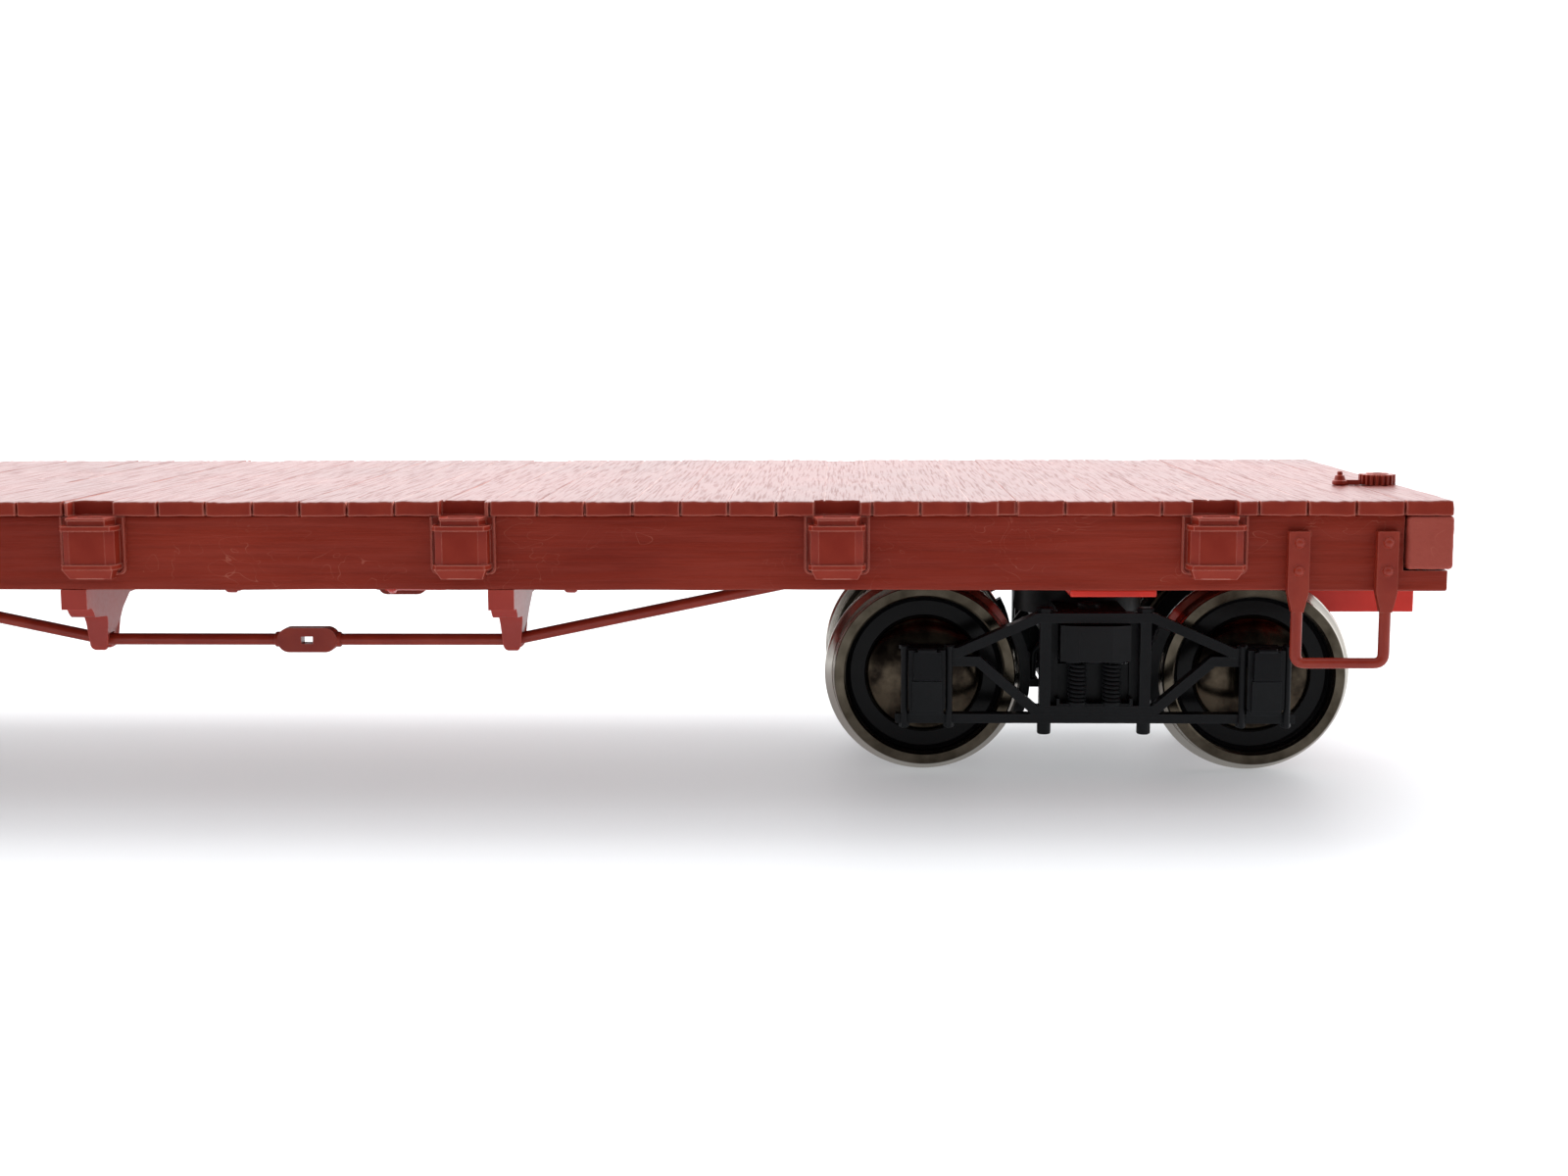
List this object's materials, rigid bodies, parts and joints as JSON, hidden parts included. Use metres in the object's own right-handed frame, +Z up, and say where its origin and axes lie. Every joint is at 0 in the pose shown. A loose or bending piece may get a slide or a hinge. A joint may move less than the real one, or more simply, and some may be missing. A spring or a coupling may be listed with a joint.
{
  "type": "model flat car",
  "caption": "Model railway flat car: planked wooden deck, stake pockets, stirrup steps and truss rods, on two swivelling archbar trucks with free-rolling flanged wheels.",
  "frame": {"origin": "under the middle of the car, level with the lowest points of the wheel flanges; the rail top is 0.75 mm higher", "axes": "+X along the car towards the hand-brake end, +Y across the car to its left, +Z up"},
  "size_m": [0.1976, 0.0534, 0.0272],
  "materials": {
    "deck_red": "matt oxide-red paint over moulded wood grain",
    "body_red": "satin oxide-red paint over moulded wood grain",
    "moulded_red": "unpainted brighter red moulding, satin",
    "truck_black": "black satin moulding",
    "wheel_metal": "turned and darkly plated, polished tread",
    "steel": "bright steel"
  },
  "bodies": {
    "car_body": {"deck": "deck_red", "side_sill_left": "body_red", "side_sill_right": "body_red", "end_beam_front": "body_red", "end_beam_rear": "body_red", "centre_sill": "moulded_red", "inner_sill_left": "moulded_red", "inner_sill_right": "moulded_red", "weight_plate": "steel", "body_bolster_front": "moulded_red", "body_bolster_rear": "moulded_red", "coupler_pad_front": "moulded_red", "coupler_pad_rear": "moulded_red", "kingpin_front": "steel", "kingpin_rear": "steel", "needle_beam_front": "moulded_red", "needle_beam_rear": "moulded_red", "truss_rod_left_front": "body_red", "truss_rod_left_rear": "body_red", "turnbuckle_left": "body_red", "truss_rod_right_front": "body_red", "truss_rod_right_rear": "body_red", "turnbuckle_right": "body_red", "stake_pocket_left_1": "body_red", "stake_pocket_left_2": "body_red", "stake_pocket_left_3": "body_red", "stake_pocket_left_4": "body_red", "stake_pocket_left_5": "body_red", "stake_pocket_left_6": "body_red", "stake_pocket_right_1": "body_red", "stake_pocket_right_2": "body_red", "stake_pocket_right_3": "body_red", "stake_pocket_right_4": "body_red", "stake_pocket_right_5": "body_red", "stake_pocket_right_6": "body_red", "step_left_front": "body_red", "step_right_front": "body_red", "step_left_rear": "body_red", "step_right_rear": "body_red", "brake_ratchet": "body_red", "brake_pawl": "body_red", "brake_cylinder": "moulded_red"},
    "front_truck": {"truck_front_frame_left": "truck_black", "truck_front_frame_right": "truck_black", "truck_front_bolster": "truck_black"},
    "rear_truck": {"truck_rear_frame_left": "truck_black", "truck_rear_frame_right": "truck_black", "truck_rear_bolster": "truck_black"},
    "front_outer_wheelset": {"front_outer_axle": "steel", "front_outer_wheel_left": "wheel_metal", "front_outer_wheel_right": "wheel_metal"},
    "front_inner_wheelset": {"front_inner_axle": "steel", "front_inner_wheel_left": "wheel_metal", "front_inner_wheel_right": "wheel_metal"},
    "rear_outer_wheelset": {"rear_outer_axle": "steel", "rear_outer_wheel_left": "wheel_metal", "rear_outer_wheel_right": "wheel_metal"},
    "rear_inner_wheelset": {"rear_inner_axle": "steel", "rear_inner_wheel_left": "wheel_metal", "rear_inner_wheel_right": "wheel_metal"}
  },
  "joints": [
    {"name": "front_truck_swivel", "type": "hinge", "parent": "car_body", "child": "front_truck", "pos_m": [0.06826, 0, 0.01785], "axis": [0, 0, 1], "range_deg": [-10, 10]},
    {"name": "rear_truck_swivel", "type": "hinge", "parent": "car_body", "child": "rear_truck", "pos_m": [-0.06826, 0, 0.01785], "axis": [0, 0, 1], "range_deg": [-10, 10]},
    {"name": "front_outer_roll", "type": "hinge", "parent": "front_truck", "child": "front_outer_wheelset", "pos_m": [0.08294, 0, 0.00895], "axis": [0, 1, 0], "continuous": true},
    {"name": "front_inner_roll", "type": "hinge", "parent": "front_truck", "child": "front_inner_wheelset", "pos_m": [0.05358, 0, 0.00895], "axis": [0, 1, 0], "continuous": true},
    {"name": "rear_outer_roll", "type": "hinge", "parent": "rear_truck", "child": "rear_outer_wheelset", "pos_m": [-0.08294, 0, 0.00895], "axis": [0, 1, 0], "continuous": true},
    {"name": "rear_inner_roll", "type": "hinge", "parent": "rear_truck", "child": "rear_inner_wheelset", "pos_m": [-0.05358, 0, 0.00895], "axis": [0, 1, 0], "continuous": true}
  ]
}
